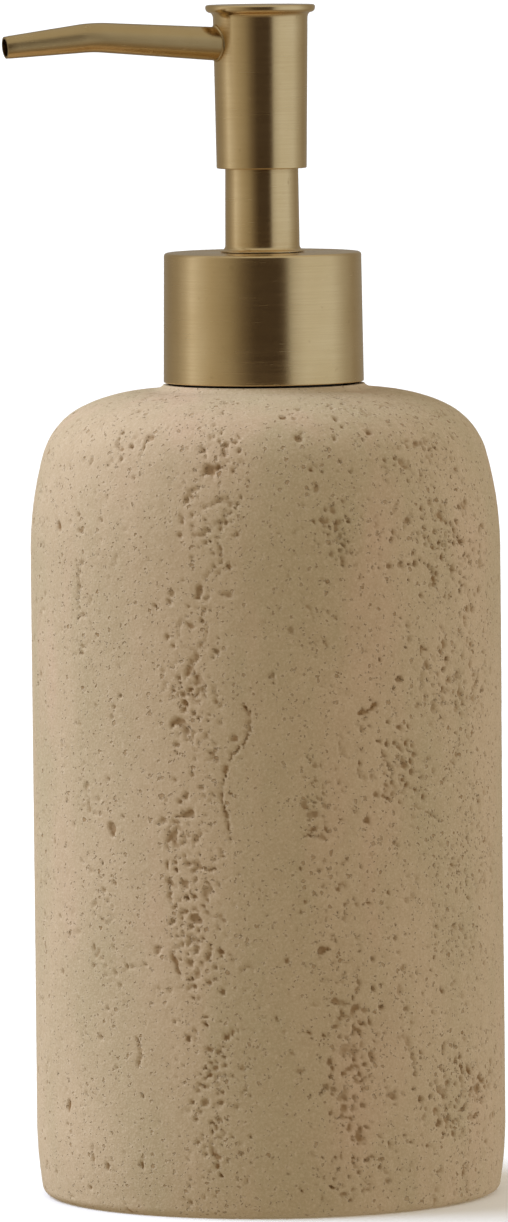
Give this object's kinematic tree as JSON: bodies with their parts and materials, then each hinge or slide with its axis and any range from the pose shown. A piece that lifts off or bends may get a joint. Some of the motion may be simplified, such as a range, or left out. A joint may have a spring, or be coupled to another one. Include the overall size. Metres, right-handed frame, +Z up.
{
  "type": "soap pump dispenser",
  "caption": "Free-standing soap dispenser: a thick cylindrical stone bottle with rounded shoulders and a screw-on brushed metal pump with a slim bent spout.",
  "frame": {"origin": "centre of the underside, on the surface that it stands on", "axes": "+Z up along the bottle's axis; the spout points along -X, and the XZ plane is the plane of symmetry"},
  "size_m": [0.0803, 0.0752, 0.1902],
  "materials": {
    "stone": "matt porous, with pits and channels",
    "brass": "satin, finely brushed around the axis",
    "foam": "fine closed-cell foam",
    "neck_plastic": "moulded, satin",
    "liner_plastic": "moulded, satin",
    "pump_plastic": "translucent, moulded",
    "stem_plastic": "moulded, satin",
    "seal": "soft, waxy",
    "gasket": "foamed, matt",
    "tube_plastic": "clear, extruded",
    "steel": "drawn, bright"
  },
  "bodies": {
    "vessel": {"stone_body": "stone", "neck_insert": "neck_plastic", "base_pad": "foam"},
    "pump": {"pump_cylinder": "pump_plastic", "stem_guide": "pump_plastic", "neck_sleeve": "brass", "gasket": "gasket", "return_spring": "steel", "dip_tube": "tube_plastic"},
    "collar": {"collar_shell": "brass", "collar_liner": "liner_plastic"},
    "piston": {"stem": "stem_plastic", "piston_seal": "seal", "piston_seat": "stem_plastic"},
    "head": {"head_shell": "brass", "head_cap": "brass", "spout": "brass", "head_core": "stem_plastic"},
    "inlet_ball": {"inlet_ball": "steel"},
    "outlet_ball": {"outlet_ball": "steel"}
  },
  "joints": [
    {"name": "pump_lift_out", "type": "slide", "parent": "vessel", "child": "pump", "axis": [0, 0, 1], "range_m": [0, 0.15]},
    {"name": "collar_unscrew", "type": "hinge", "parent": "pump", "child": "collar", "pos_m": [0, 0, 0.14], "axis": [0, 0, 1], "range_deg": [0, 450]},
    {"name": "head_press", "type": "slide", "parent": "pump", "child": "piston", "axis": [0, 0, -1], "range_m": [0, 0.012], "stiffness_N_per_m": 900, "springref_m": -0.009, "deforming": ["return_spring"]},
    {"name": "head_swivel", "type": "hinge", "parent": "piston", "child": "head", "pos_m": [0, 0, 0.178], "axis": [0, 0, 1], "continuous": true},
    {"name": "inlet_ball_lift", "type": "slide", "parent": "pump", "child": "inlet_ball", "axis": [0, 0, 1], "range_m": [0, 0.0015]},
    {"name": "outlet_ball_lift", "type": "slide", "parent": "head", "child": "outlet_ball", "axis": [0, 0, 1], "range_m": [0, 0.0012]}
  ]
}
